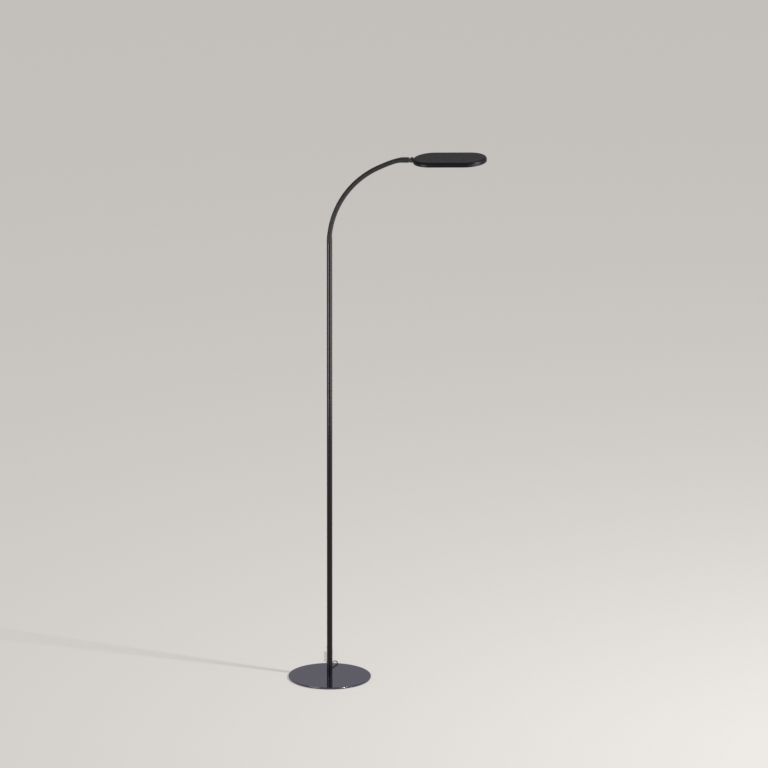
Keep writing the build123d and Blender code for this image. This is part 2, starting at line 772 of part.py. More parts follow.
# Bush: rubber grommet in the pole's side hole, with a short tapered nose round the lead.
bush_tip = pole_radius + bush_flange_thickness + bush_nose_length
bush_root = pole_bore_radius - fit_gap
bush_section = Plane(origin=(0, 0, lead_exit_height), x_dir=(0, 0, 1), z_dir=(-1, 0, 0))
bush_bore_radius = lead_radius + lead_gap
with BuildPart() as lead_bush:
    with BuildSketch(bush_section):
        with BuildLine():
            Polyline(
                (bush_bore_radius, bush_root),
                (bush_hole_radius, bush_root),
                (bush_hole_radius, pole_radius - pole_wall / 2),
                (bush_flange_radius, pole_radius - pole_wall / 2),
                (bush_flange_radius, pole_radius + bush_flange_thickness),
                (bush_hole_radius, pole_radius + bush_flange_thickness),
                (bush_bore_radius + lead_gap, bush_tip),
                (bush_bore_radius, bush_tip),
                close=True,
            )
        make_face()
    revolve(axis=Axis((0, 0, lead_exit_height), (0, 1, 0)))
lead_bush_part = lead_bush.part - lower_pole.part
lead_bush_part.label = "lead_bush"
export_step(lead_bush_part, "parts/lead_bush.step")

# Inner lead: up the middle of both poles, from the bush to the foot of the gooseneck.
inner_lead_points = [
    Vector(0, bush_tip, lead_exit_height),
    Vector(0, 0, lead_exit_height),
    Vector(0, 0, first_ball_height - socket_radius),
]
pole_lead, pole_lead_route = make_lead("pole_lead", inner_lead_points, [pole_bore_radius])
pole_lead.label = "pole_lead"
export_step(pole_lead, "parts/pole_lead.step")

# Hank: the spare lead, folded to and fro in four layers and drawn in where the strap holds it.
# Each strand runs beside the one before it, half a pitch nearer or further, and the innermost
# and outermost strands climb to the next layer along their run.
strand_pitch = lead_diameter + strand_gap
outer_offset = hank_fold_radius + hank_fold_growth
hank_shift = strand_pitch / 4  # which centres the hank on the put-away line
strand_total = hank_layer_count * strands_per_layer + 1
hank_floor = strap_thickness + strap_gap + lead_radius


def strand_offset(number):
    """Distance of a strand from the hank's middle line: in by half pitches, then out again."""
    step = number % (2 * strands_per_layer)
    return outer_offset - min(step, 2 * strands_per_layer - step) * strand_pitch / 2


def strand_level(number):
    """Layer at the end of a strand; every third strand climbs."""
    return hank_floor + min(number // strands_per_layer, hank_layer_count - 1) * strand_pitch


fold_share = 0.95  # of the half width of a fold, which its two square corners take up
waist_depth = hank_near_depth + hank_span / 2
hank_points = []
fold_radii = {}
for number in range(strand_total):
    away = number % 2 == 0
    side = -1 if away else 1
    offset_here = strand_offset(number)
    fold_before = (strand_offset(number - 1) + offset_here) / 2 if number else 0
    fold_after = (offset_here + strand_offset(number + 1)) / 2 if number < strand_total - 1 else 0
    start_level = strand_level(number - 1) if number else hank_floor
    end_level = strand_level(number)
    near = hank_near_depth - (fold_after if not away else fold_before)
    far = hank_near_depth + hank_span + (fold_after if away else fold_before)
    start_depth, end_depth = (near, far) if away else (far, near)
    waist_side = side * (offset_here - hank_draw_in) + hank_shift
    hank_points.append(put_away(side * offset_here + hank_shift, start_depth, start_level))
    hank_points.append(put_away(waist_side, waist_depth, (start_level + end_level) / 2))
    hank_points.append(put_away(side * offset_here + hank_shift, end_depth, end_level))
    fold_radii[3 * number] = fold_share * fold_before
    fold_radii[3 * number + 2] = fold_share * fold_after
hank_radii = corner_radii(hank_points)
hank_radii = [fold_radii.get(i + 1, radius) for i, radius in enumerate(hank_radii)]
lead_hank, hank_route = make_lead("lead_hank", hank_points, hank_radii)
lead_hank.label = "lead_hank"
export_step(lead_hank, "parts/lead_hank.step")


def least_gap(route, diameter, apart, step=1.5):
    """Least gap of a lead to itself, between places at least a given way apart along it."""
    count = int(route.length / step)
    places = [route.position_at(i / count) for i in range(count + 1)]
    skip = int(apart / step)
    distances = [(a - b).length for i, a in enumerate(places) for b in places[i + skip:]]
    return min(distances) - diameter


print(f"lead_hank: least gap to itself {least_gap(hank_route, lead_diameter, 4 * lead_diameter):.2f}")

# Strap: hook-and-loop band round the hank's waist.
waist_draw_in = hank_draw_in * (1 - corner_share / 2)
waist_left = -(outer_offset - waist_draw_in) + hank_shift - lead_radius - strap_gap
waist_right = outer_offset - strand_pitch / 2 - waist_draw_in + hank_shift + lead_radius + strap_gap
waist_bottom = hank_floor - lead_radius - strap_gap
waist_top = hank_floor + (hank_layer_count - 1) * strand_pitch + lead_radius + strap_gap
waist_width = waist_right - waist_left
waist_height = waist_top - waist_bottom
strap_place = put_away(
    (waist_left + waist_right) / 2,
    waist_depth - strap_width / 2,
    (waist_bottom + waist_top) / 2,
)
strap_plane = Plane(origin=strap_place, x_dir=put_away(1, 0, 0), z_dir=put_away(0, 1, 0))
with BuildPart() as lead_strap:
    with BuildSketch(strap_plane):
        RectangleRounded(
            waist_width + 2 * strap_thickness,
            waist_height + 2 * strap_thickness,
            lead_radius,
        )
        RectangleRounded(
            waist_width,
            waist_height,
            lead_radius - strap_thickness,
            mode=Mode.SUBTRACT,
        )
    extrude(amount=strap_width)
lead_strap.part.label = "lead_strap"
export_step(lead_strap.part, "parts/lead_strap.step")

# Free lead: out of the bush, down to the disc, over its back edge, round a small loop on the
# floor and into the hank behind it. Each point is across, along and above.
loop_radius = 6.6
loop_corner = loop_radius * math.tan(math.radians(30))  # three corners make each half turn
loop_middle = 15.8
loop_far = 151.7
loop_near = 127.3
hank_entry = hank_points[0]
hank_entry_run = (hank_points[1] - hank_points[0]).normalized()
free_points = [
    Vector(0, bush_tip, lead_exit_height),
    Vector(0, bush_tip + bush_lead_out, lead_exit_height),
    put_away(4.8, 33, 13),
    put_away(3.4, 47, 7.4),
    put_away(4.4, 62, 7.3),
    put_away(9.6, 78, 7.3),
    put_away(16.6, 96, 8.0),
    put_away(20.2, 110, 11.2),
    put_away(21.6, 124, 10.4),
    put_away(22.3, 137, 3.4),
    put_away(loop_middle + loop_radius, loop_far, 1.6),
    put_away(loop_middle, loop_far + loop_corner, 1.6),
    put_away(loop_middle - loop_radius, loop_far, 1.6),
    put_away(7.4, 139.5, 1.6),
    put_away(loop_radius, loop_near, 1.6),
    put_away(0, loop_near - loop_corner, 1.6),
    put_away(-loop_radius, loop_near, 1.7),
    hank_entry - hank_entry_run * hank_lead_in,
    hank_entry,
]
power_lead, power_lead_route = make_lead("power_lead", free_points, corner_radii(free_points))
power_lead.label = "power_lead"
export_step(power_lead, "parts/power_lead.step")

# Tail: from the hank's last strand down to the plug, which lies on the floor behind the hank.
hank_leaving = hank_points[-1]
hank_leaving_run = (hank_points[-1] - hank_points[-2]).normalized()
plug_height = plug_body_radius
plug_start_depth = hank_near_depth + hank_span + outer_offset + plug_gap
tail_points = [
    hank_leaving,
    hank_leaving + hank_leaving_run * tail_run,
    put_away(-1.0, plug_start_depth - tail_plug_run, plug_height),
    put_away(-0.6, plug_start_depth, plug_height),
]
lead_tail, lead_tail_route = make_lead("lead_tail", tail_points, corner_radii(tail_points))
lead_tail.label = "lead_tail"
export_step(lead_tail, "parts/lead_tail.step")
lead_length = sum(r.length for r in (power_lead_route, hank_route, lead_tail_route))
print(f"lead outside the lamp: {lead_length:.1f} long")

# Plug: moulded body with a tapered strain relief, and a hollow round barrel contact.
plug_start = tail_points[-1]
plug_direction = (tail_points[-1] - tail_points[-2]).normalized()
plug_relief_start_radius = lead_radius + plug_relief_wall
plug_relief_end_radius = plug_body_radius - plug_relief_step
plug_body_end = plug_relief_length + plug_body_length
plug_barrel_end = plug_body_end + plug_barrel_length
plug_across = plug_direction.cross(Vector(0, 0, 1))
plug_up = plug_direction.cross(plug_across)
with BuildPart() as lead_plug:
    with BuildSketch(Plane(origin=plug_start, x_dir=plug_up, z_dir=plug_across)):
        with BuildLine():
            Polyline(
                (0, 0),
                (plug_relief_start_radius, 0),
                (plug_relief_end_radius, plug_relief_length),
                (plug_body_radius - plug_edge, plug_relief_length),
                (plug_body_radius, plug_relief_length + plug_edge),
                (plug_body_radius, plug_body_end - plug_edge),
                (plug_body_radius - plug_edge, plug_body_end),
                (plug_barrel_radius, plug_body_end),
                (plug_barrel_radius, plug_barrel_end),
                (plug_bore_radius, plug_barrel_end),
                (plug_bore_radius, plug_body_end),
                (0, plug_body_end),
                close=True,
            )
        make_face()
    revolve(axis=Axis(plug_start, plug_direction))
lead_plug.part.label = "lead_plug"
export_step(lead_plug.part, "parts/lead_plug.step")
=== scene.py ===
import math

import bmesh
import bpy
from mathutils import Matrix, Vector


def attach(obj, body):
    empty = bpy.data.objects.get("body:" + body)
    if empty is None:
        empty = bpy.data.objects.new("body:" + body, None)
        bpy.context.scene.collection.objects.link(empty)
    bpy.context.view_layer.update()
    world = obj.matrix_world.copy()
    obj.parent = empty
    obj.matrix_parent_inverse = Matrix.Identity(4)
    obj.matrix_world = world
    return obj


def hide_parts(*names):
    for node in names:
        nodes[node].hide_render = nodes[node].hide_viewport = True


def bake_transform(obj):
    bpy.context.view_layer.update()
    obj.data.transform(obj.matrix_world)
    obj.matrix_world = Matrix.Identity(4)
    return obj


# Gooseneck reading floor lamp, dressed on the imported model. Everything is in metres, in the
# model's own frame: Z up, the arm reaching along X, the middle of the base's underside at 0.
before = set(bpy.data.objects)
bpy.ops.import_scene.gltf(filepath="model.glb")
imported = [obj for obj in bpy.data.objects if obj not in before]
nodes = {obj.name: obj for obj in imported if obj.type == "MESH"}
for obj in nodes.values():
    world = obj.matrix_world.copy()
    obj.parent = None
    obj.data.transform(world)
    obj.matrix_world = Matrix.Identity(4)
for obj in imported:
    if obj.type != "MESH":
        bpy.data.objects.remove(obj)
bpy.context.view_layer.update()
scene = bpy.context.scene
scene.view_settings.view_transform = "Standard"
MM = 0.001


# ---- Base plate -----------------------------------------------------------------------
# A round steel plate with rounded edges, painted black under a smooth lacquer with a cool
# cast, which mirrors the foot of the pole. Foam is stuck under it.
def new_material(name):
    """An empty material with a Principled shader and its object coordinates."""
    material = bpy.data.materials.new(name)
    material.use_nodes = True
    tree = material.node_tree
    shader = tree.nodes["Principled BSDF"]
    place = tree.nodes.new("ShaderNodeTexCoord").outputs["Object"]
    return material, tree, shader, place


def noise(tree, place, size, detail=3.0, roughness=0.55):
    """A noise texture whose features are about size metres across."""
    node = tree.nodes.new("ShaderNodeTexNoise")
    node.inputs["Scale"].default_value = 1 / size
    node.inputs["Detail"].default_value = detail
    node.inputs["Roughness"].default_value = roughness
    tree.links.new(place, node.inputs["Vector"])
    return node.outputs["Fac"]


def between(tree, value, low, high):
    """Spreads a texture's middle values over the range from low to high."""
    node = tree.nodes.new("ShaderNodeMapRange")
    node.inputs["From Min"].default_value = 0.3
    node.inputs["From Max"].default_value = 0.7
    node.inputs["To Min"].default_value = low
    node.inputs["To Max"].default_value = high
    tree.links.new(value, node.inputs["Value"])
    return node.outputs["Result"]


def tint(tree, value, dark, light):
    """A colour between dark and light that follows a texture."""
    node = tree.nodes.new("ShaderNodeValToRGB")
    node.color_ramp.elements[0].position = 0.3
    node.color_ramp.elements[0].color = (*dark, 1)
    node.color_ramp.elements[1].position = 0.7
    node.color_ramp.elements[1].color = (*light, 1)
    tree.links.new(value, node.inputs["Fac"])
    return node.outputs["Color"]


def bump(tree, shader, height, depth):
    """Raises the surface by depth metres where the texture is high."""
    node = tree.nodes.new("ShaderNodeBump")
    node.inputs["Strength"].default_value = 1.0
    node.inputs["Distance"].default_value = depth
    tree.links.new(height, node.inputs["Height"])
    tree.links.new(node.outputs["Normal"], shader.inputs["Normal"])


def coated(name, color, roughness, grain=0.0007, depth=0.00002, mottle=0.12, gloss=0.5):
    """Paint, plastic or rubber: a colour with fine grain, slow mottling and changes of sheen."""
    material, tree, shader, place = new_material(name)
    shader.inputs["Specular IOR Level"].default_value = gloss
    slow = noise(tree, place, 0.03, 4.0)
    dark = [c * (1 - mottle) for c in color]
    light = [c * (1 + mottle) for c in color]
    tree.links.new(tint(tree, slow, dark, light), shader.inputs["Base Color"])
    patches = between(tree, noise(tree, place, 0.011), roughness * 0.88, roughness * 1.12)
    tree.links.new(patches, shader.inputs["Roughness"])
    bump(tree, shader, noise(tree, place, grain, 2.0), depth)
    return material


finishes = {}


def finish(material, *node_names):
    """Gives a material to the model's nodes, and keeps it by its slot's name for the pieces."""
    slot = material.name.split(".")[0]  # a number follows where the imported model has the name
    finishes[slot] = material
    for node_name in node_names:
        mesh = nodes[node_name].data
        mesh.materials.clear()
        mesh.materials.append(material)


base_color = (0.01, 0.01, 0.015)
base_paint = coated("base_paint", base_color, 0.12, grain=0.0012, depth=0.000004, gloss=1.0)
lacquer = base_paint.node_tree.nodes["Principled BSDF"].inputs
lacquer["Coat Weight"].default_value = 1.0
lacquer["Coat Roughness"].default_value = 0.09
lacquer["Coat IOR"].default_value = 1.55
lacquer["Coat Tint"].default_value = (0.52, 0.52, 0.82, 1)
finish(base_paint, "base_plate")
finish(coated("foam", (0.03, 0.03, 0.03), 0.9, grain=0.0012, depth=0.0003), "base_pad")


# ---- Foot screw and pole inserts ------------------------------------------------------
# Zinc plated steel, turned on a lathe: the countersunk screw through the plate, the slug in
# the pole's foot, and the threaded pair that joins the two tubes.
def brushed(name, color, roughness, stretch=(1, 1, 12)):
    """Bare metal with fine drawn lines along the axis with the largest stretch."""
    material, tree, shader, place = new_material(name)
    shader.inputs["Metallic"].default_value = 1.0
    mapping = tree.nodes.new("ShaderNodeMapping")
    mapping.inputs["Scale"].default_value = stretch
    tree.links.new(place, mapping.inputs["Vector"])
    lines = noise(tree, mapping.outputs["Vector"], 0.0012, 4.0)
    dark = [c * 0.8 for c in color]
    light = [min(1, c * 1.12) for c in color]
    tree.links.new(tint(tree, lines, dark, light), shader.inputs["Base Color"])
    sheen = between(tree, lines, roughness - 0.08, roughness + 0.08)
    tree.links.new(sheen, shader.inputs["Roughness"])
    bump(tree, shader, lines, 0.00001)
    return material


zinc_steel = brushed("zinc_steel", (0.6, 0.6, 0.58), 0.35)
finish(zinc_steel, "foot_screw", "foot_insert", "joint_socket", "joint_stud")

# ---- Pole -----------------------------------------------------------------------------
# Two steel tubes in a smooth black coat, glossier than the neck, so that soft boxes draw
# bright lines down them. The rubber bush fills the side hole low on the back.
pole_color = (0.005, 0.005, 0.006)
pole_paint = coated("pole_paint", pole_color, 0.2, grain=0.0015, depth=0.000004, gloss=0.3)
finish(pole_paint, "lower_pole", "upper_pole")
finish(coated("bush_rubber", (0.015, 0.015, 0.015), 0.6, gloss=0.3), "lead_bush")
collar_paint = coated("collar_paint", (0.018, 0.0175, 0.018), 0.55, gloss=0.3)
finish(collar_paint, "neck_collar")


# ---- Gooseneck skin -------------------------------------------------------------------
# A smooth rubbery sleeve shrunk over the ball links, with a tapered boot on the collar at its
# foot and a flared cuff over the ferrule at its end. It is made in lengths, from the middle
# of one link to the middle of the next, each shaped to the neck's rest curve across the joint in
# its middle.
def add_mesh(name, vertices, faces, slot, body=None):
    """A smooth mesh piece with a finish, riding on a body."""
    mesh = bpy.data.meshes.new(name)
    mesh.from_pydata(vertices, [], faces)
    mesh.materials.append(finishes[slot])
    piece = bpy.data.objects.new(name, mesh)
    scene.collection.objects.link(piece)
    work = bmesh.new()
    work.from_mesh(mesh)
    bmesh.ops.recalc_face_normals(work, faces=work.faces)
    for face in work.faces:
        face.smooth = True
    work.to_mesh(mesh)
    work.free()
    if body:
        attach(piece, body)
    return piece


def closed_rings(rings):
    """Vertices and faces of rings of equal size, each joined to the next, the last to the first."""
    count = len(rings[0])
    vertices = [v for ring in rings for v in ring]
    faces = []
    for i in range(len(rings)):
        here = i * count
        following = (i + 1) % len(rings) * count
        for j in range(count):
            k = (j + 1) % count
            faces.append((here + j, here + k, following + k, following + j))
    return vertices, faces


skin_color = (0.022, 0.021, 0.022)
neck_skin = coated("neck_skin", skin_color, 0.6, grain=0.0004, depth=0.00002, gloss=0.25)
finish(neck_skin, *[f"neck_link_{number:02d}" for number in range(1, 12)])
neck_start_lean = math.radians(5)
neck_lower_radius = 0.269
neck_lower_bend = math.radians(57.5)
neck_upper_radius = 0.7
neck_upper_bend = math.radians(5.2)
arm_end_lean = math.radians(86.6)
first_ball_height = 1.338
link_count = 11
skin_radius = 0.0069
skin_wall = 0.0009
skin_segments = 40
skin_step = 0.0012
neck_lower_length = neck_lower_radius * neck_lower_bend
neck_length = neck_lower_length + neck_upper_radius * neck_upper_bend
link_length = neck_length / link_count


def neck_lean(distance):
    """Lean from upright of the neck's rest curve, in radians, at a distance from the first ball."""
    if distance < neck_lower_length:
        return neck_start_lean + distance / neck_lower_radius
    return neck_start_lean + neck_lower_bend + (distance - neck_lower_length) / neck_upper_radius


def neck_point(distance):
    """Place on the neck's rest curve, which is one arc and then a flatter one."""
    x = 0
    z = first_ball_height
    lean = neck_lean(min(distance, neck_lower_length))
    x += neck_lower_radius * (math.cos(neck_start_lean) - math.cos(lean))
    z += neck_lower_radius * (math.sin(lean) - math.sin(neck_start_lean))
    if distance > neck_lower_length:
        change = neck_start_lean + neck_lower_bend
        lean = neck_lean(distance)
        x += neck_upper_radius * (math.cos(change) - math.cos(lean))
        z += neck_upper_radius * (math.sin(lean) - math.sin(change))
    return Vector((x, 0, z))


def lean_direction(lean):
    """Direction that leans by an angle from upright towards the arm's end."""
    return Vector((math.sin(lean), 0, math.cos(lean)))


def eased(share):
    """A smooth step from 0 to 1."""
    share = min(1, max(0, share))
    return share * share * (3 - 2 * share)


arm_end = neck_point(neck_length)
arm_direction = lean_direction(arm_end_lean)
collar_foot = 0.018  # from the first ball down to the pole's top
foot_turn = 0.016  # over which the skin leaves the upright collar
foot_turn_start = 0.012  # below the first ball
last_turn_before = 0.026  # the way before the last ball over which the skin turns
last_turn_after = 0.014
boot_foot_radius = 0.008
boot_end = 0.013
cuff_start = -0.012  # from the last ball
cuff_full = 0.02
cuff_end = 0.0332
cuff_radius = 0.008
cuff_edge = 0.0008  # rounding of the cuff's free end
end_face_share = 0.8  # faces whose normals lie this far along the sleeve are its flat ends


def skin_station(distance):
    """(centre, lean) of the skin, measured from the first ball."""
    if distance < foot_turn - foot_turn_start:
        lean = neck_start_lean * eased((distance + foot_turn_start) / foot_turn)
        if distance < 0:
            return Vector((0, 0, first_ball_height + distance)), lean
        return neck_point(distance), lean
    turn_start = neck_length - last_turn_before
    turn_end = neck_length + last_turn_after
    if distance <= turn_start:
        return neck_point(distance), neck_lean(distance)
    if distance >= turn_end:
        return arm_end + arm_direction * (distance - neck_length), arm_end_lean
    share = (distance - turn_start) / (turn_end - turn_start)
    first = neck_point(turn_start)
    last = arm_end + arm_direction * last_turn_after
    centre = first * (1 - share) ** 2 + arm_end * 2 * share * (1 - share) + last * share**2
    onward = (arm_end - first) * (1 - share) + (last - arm_end) * share
    return centre, math.atan2(onward.x, onward.z)


def skin_size(distance):
    """The skin's radius: a tapered boot, the even sleeve, and the flared cuff at the end."""
    if distance < boot_end:
        share = (distance + collar_foot) / (boot_end + collar_foot)
        return boot_foot_radius + (skin_radius - boot_foot_radius) * eased(share)
    past = distance - neck_length
    share = (past - cuff_start) / (cuff_full - cuff_start)
    radius = skin_radius + (cuff_radius - skin_radius) * eased(share)
    over_edge = past - cuff_end + cuff_edge
    if over_edge > 0:
        radius -= cuff_edge - math.sqrt(max(0, cuff_edge**2 - over_edge**2))
    return radius


def skin_length(name, start, end, slot):
    """One length of skin as a closed tube with a thin wall."""
    count = max(6, round((end - start) / skin_step))
    outer_rings = []
    inner_rings = []
    for step in range(count + 1):
        distance = start + (end - start) * step / count
        centre, lean = skin_station(distance)
        side = Vector((math.cos(lean), 0, -math.sin(lean)))
        out = Vector((0, 1, 0))
        outer_rings.append([])
        inner_rings.append([])
        for segment in range(skin_segments):
            angle = 2 * math.pi * segment / skin_segments
            spoke = math.cos(angle) * side + math.sin(angle) * out
            outer_rings[-1].append(centre + spoke * skin_size(distance))
            inner_rings[-1].append(centre + spoke * (skin_size(distance) - skin_wall))
    vertices, faces = closed_rings(outer_rings + inner_rings[::-1])
    piece = add_mesh(name, vertices, faces, slot)
    middle_direction = lean_direction(skin_station((start + end) / 2)[1])
    for face in piece.data.polygons:
        face.use_smooth = abs(face.normal.dot(middle_direction)) < end_face_share
    return piece


bend_reach = 0.009  # either side of a ball
for joint in range(link_count + 1):
    ball = joint * link_length
    start = ball - link_length / 2 if joint else -collar_foot
    end = ball + link_length / 2 if joint < link_count else ball + cuff_end
    skin = skin_length(f"neck_skin_{joint + 1:02d}", start, end, "neck_skin")
    bend_start = skin_station(ball - bend_reach)[0]
    bend_end = skin_station(ball + bend_reach)[0]
    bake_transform(skin)
    if joint < link_count:
        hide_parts(f"neck_link_{joint + 1:02d}")


# ---- Arm end --------------------------------------------------------------------------
# The ferrule inside the cuff is a turned steel plug in matt black; only its end shows, with
# the flat tongue of the tilt joint milled on it. Edges are broken by a small chamfer.
def turned(start, direction, across, profile, segments=48):
    """Rings of a turned piece, from (radius, way along its axis) pairs."""
    lift = direction.cross(across)
    rings = []
    for radius, along in profile:
        ring = []
        for segment in range(segments):
            angle = 2 * math.pi * segment / segments
            spoke = math.cos(angle) * across + math.sin(angle) * lift
            ring.append(start + along * direction + radius * spoke)
        rings.append(ring)
    return rings


ferrule_radius = 0.0071
ferrule_end = 0.0336
ferrule_start = 0.013
ferrule_core = 0.0004  # the closed ends leave this small dimple on the axis
ferrule_edge = 0.0006
side_face_share = 0.3  # faces whose normals lie less than this along the axis are shaded smooth
ferrule_profile = [
    (ferrule_core, ferrule_start),
    (ferrule_radius, ferrule_start),
    (ferrule_radius, ferrule_end - ferrule_edge),
    (ferrule_radius - ferrule_edge / 3, ferrule_end - ferrule_edge / 3),
    (ferrule_radius - ferrule_edge, ferrule_end),
    (ferrule_core, ferrule_end),
]
finish(collar_paint, "neck_ferrule")
ferrule_rings = turned(arm_end, arm_direction, Vector((0, 1, 0)), ferrule_profile)
ferrule = add_mesh("arm_end_ferrule", *closed_rings(ferrule_rings), "collar_paint", "arm_end")
for face in ferrule.data.polygons:
    face.use_smooth = abs(face.normal.dot(arm_direction)) < side_face_share
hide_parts("neck_ferrule")

pin_distance = 0.0071  # from the ferrule's end
pin_centre = arm_end + arm_direction * (ferrule_end + pin_distance)
tongue_radius = 0.004
tongue_reach = 0.0077  # back from the pin, into the ferrule's end
tongue_half = 0.0024
tongue_edge = 0.00025
tongue_bore = 0.00205
tongue_up = arm_direction.cross(Vector((0, 1, 0)))


def tongue_ring(level, draw_in, bore=False):
    """One outline of the tongue at a level across it, drawn in at a chamfer."""
    ring = []
    for segment in range(48):
        angle = 2 * math.pi * segment / 48
        forward, upward = math.cos(angle), math.sin(angle)
        reach = tongue_radius - draw_in
        if forward < 0 and not bore:
            flat = (tongue_radius - draw_in) / max(abs(upward), 1e-6)
            reach = min(flat, tongue_reach / max(abs(forward), 1e-6))
        if bore:
            reach = tongue_bore
        spoke = forward * arm_direction + upward * tongue_up
        ring.append(pin_centre + reach * spoke + level * Vector((0, 1, 0)))
    return ring


tongue_rings = [
    tongue_ring(-tongue_half, 0, bore=True),
    tongue_ring(-tongue_half, tongue_edge),
    tongue_ring(-tongue_half + tongue_edge, 0),
    tongue_ring(tongue_half - tongue_edge, 0),
    tongue_ring(tongue_half, tongue_edge),
    tongue_ring(tongue_half, 0, bore=True),
]
tongue = add_mesh("arm_end_tongue", *closed_rings(tongue_rings), "collar_paint", "arm_end")
for face in tongue.data.polygons:
    face.use_smooth = False

# ---- Tilt joint -----------------------------------------------------------------------
# A die-cast fork, matt black and darker than the neck, on a blackened shoulder screw and nut,
# with two slippery plastic washers. Two small screws hold its foot inside the head.
finish(coated("fork_paint", (0.012, 0.012, 0.012), 0.5, gloss=0.35), "head_fork")
finish(brushed("pin_steel", (0.07, 0.07, 0.07), 0.35, stretch=(1, 1, 1)), "tilt_pin", "tilt_nut")
finish(coated("washer_plastic", (0.7, 0.7, 0.67), 0.4), "tilt_washers")
finish(zinc_steel, "fork_screws")

# ---- Head cover and frame -------------------------------------------------------------
# Two black mouldings with a fine spark-eroded texture that meet in a hairline: the cover with
# its large rounded edge, and the frame round the light window, with its four small screws.
head_color = (0.006, 0.0053, 0.0088)
head_plastic = coated("head_plastic", head_color, 0.38, grain=0.0005, depth=0.00001, gloss=0.15)
finish(head_plastic, "head_top_shell", "head_bottom_frame")
black_screw = coated("black_screw", (0.03, 0.03, 0.03), 0.35)
finish(black_screw, "frame_screws")


# ---- Light window ---------------------------------------------------------------------
# An opal acrylic sheet lies in the frame. Above it are the clear guide, printed with rows of
# dots that scatter the light out of it, and the white film that throws it back down.
def opal(name, color):
    """Opal acrylic: white through its thickness, with a fine satin face."""
    material, tree, shader, place = new_material(name)
    cloud = noise(tree, place, 0.04, 3.0)
    tree.links.new(tint(tree, cloud, [c * 0.97 for c in color], color), shader.inputs["Base Color"])
    satin = between(tree, noise(tree, place, 0.006), 0.36, 0.44)
    tree.links.new(satin, shader.inputs["Roughness"])
    shader.inputs["Subsurface Weight"].default_value = 0.3
    shader.inputs["Subsurface Radius"].default_value = (0.002, 0.002, 0.002)
    shader.inputs["Subsurface Scale"].default_value = 1.0
    bump(tree, shader, noise(tree, place, 0.0005, 2.0), 0.00001)
    return material


def clear_sheet(name, color):
    """Polished acrylic with a grid of light-scattering dots on its face."""
    material, tree, shader, place = new_material(name)
    dots = tree.nodes.new("ShaderNodeTexVoronoi")
    dots.inputs["Scale"].default_value = 1 / 0.0016
    dots.inputs["Randomness"].default_value = 0.0
    tree.links.new(place, dots.inputs["Vector"])
    between_dots = [c * 0.85 for c in color]
    printed = tint(tree, dots.outputs["Distance"], between_dots, color)
    tree.links.new(printed, shader.inputs["Base Color"])
    shader.inputs["Roughness"].default_value = 0.08
    shader.inputs["Transmission Weight"].default_value = 0.85
    shader.inputs["IOR"].default_value = 1.49
    bump(tree, shader, dots.outputs["Distance"], 0.00002)
    return material


finish(opal("opal_plastic", (0.83, 0.83, 0.81)), "diffuser")
finish(clear_sheet("clear_acrylic", (0.93, 0.95, 0.95)), "light_guide")
white_film = coated("white_film", (0.85, 0.85, 0.85), 0.6, mottle=0.03)
finish(white_film, "reflector_sheet", "insulator_sheet")


# ---- Heat tray and LEDs ---------------------------------------------------------------
# A tray of bare aluminium sheet spreads the heat. White strip boards are stuck to its two
# folded edges, with LEDs under yellow phosphor that face the edge of the guide.
def circuit(name, color, track_color):
    """Solder mask with the raised lines of the copper tracks under it."""
    material, tree, shader, place = new_material(name)
    tracks = tree.nodes.new("ShaderNodeTexBrick")
    tracks.inputs["Scale"].default_value = 1 / 0.012
    tracks.inputs["Color1"].default_value = (*color, 1)
    tracks.inputs["Color2"].default_value = (*[c * 0.8 for c in color], 1)
    tracks.inputs["Mortar"].default_value = (*track_color, 1)
    tracks.inputs["Mortar Size"].default_value = 0.03
    tree.links.new(place, tracks.inputs["Vector"])
    tree.links.new(tracks.outputs["Color"], shader.inputs["Base Color"])
    mask = between(tree, noise(tree, place, 0.004), 0.3, 0.42)
    tree.links.new(mask, shader.inputs["Roughness"])
    bump(tree, shader, tracks.outputs["Fac"], 0.00003)
    return material


finish(brushed("tray_aluminium", (0.78, 0.79, 0.8), 0.32, stretch=(1, 14, 1)), "heat_tray")
finish(circuit("white_board", (0.8, 0.8, 0.78), (0.7, 0.6, 0.4)), "led_strips")
finish(coated("led_phosphor", (0.85, 0.65, 0.15), 0.25, grain=0.0002), "leds")

# ---- Driver and touch electrode -------------------------------------------------------
# A green board with moulded black parts turns the supply into the LEDs' current. A disc of
# copper foil under the cover feels a finger through the plastic, in place of a button.
finish(circuit("green_board", (0.01, 0.09, 0.035), (0.02, 0.16, 0.06)), "driver_board")
finish(coated("component_black", (0.02, 0.02, 0.02), 0.5), "driver_components")
finish(brushed("copper_foil", (0.75, 0.42, 0.28), 0.3, stretch=(8, 1, 1)), "touch_electrode")

# ---- Lead -----------------------------------------------------------------------------
# One round lead in a limp black sheath: out of the bush, down to the disc, over its back
# edge, round a small loop on the floor, and then the hank behind it, which is folded to and
# fro in four layers and drawn in at the waist.
lead_sheath = coated("lead_sheath", (0.014, 0.014, 0.015), 0.42, grain=0.0004, depth=0.00001)
finish(lead_sheath, "pole_lead", "power_lead", "lead_hank", "lead_tail")
lead_bearing = math.radians(11)
lead_diameter = 2.2  # this section's sizes are in millimetres


def put_away(side, depth, height):
    """Place of a point of the lead, by millimetres across and along the put-away line."""
    x = side * math.cos(lead_bearing) - depth * math.sin(lead_bearing)
    y = side * math.sin(lead_bearing) + depth * math.cos(lead_bearing)
    return Vector((x, y, height)) * MM


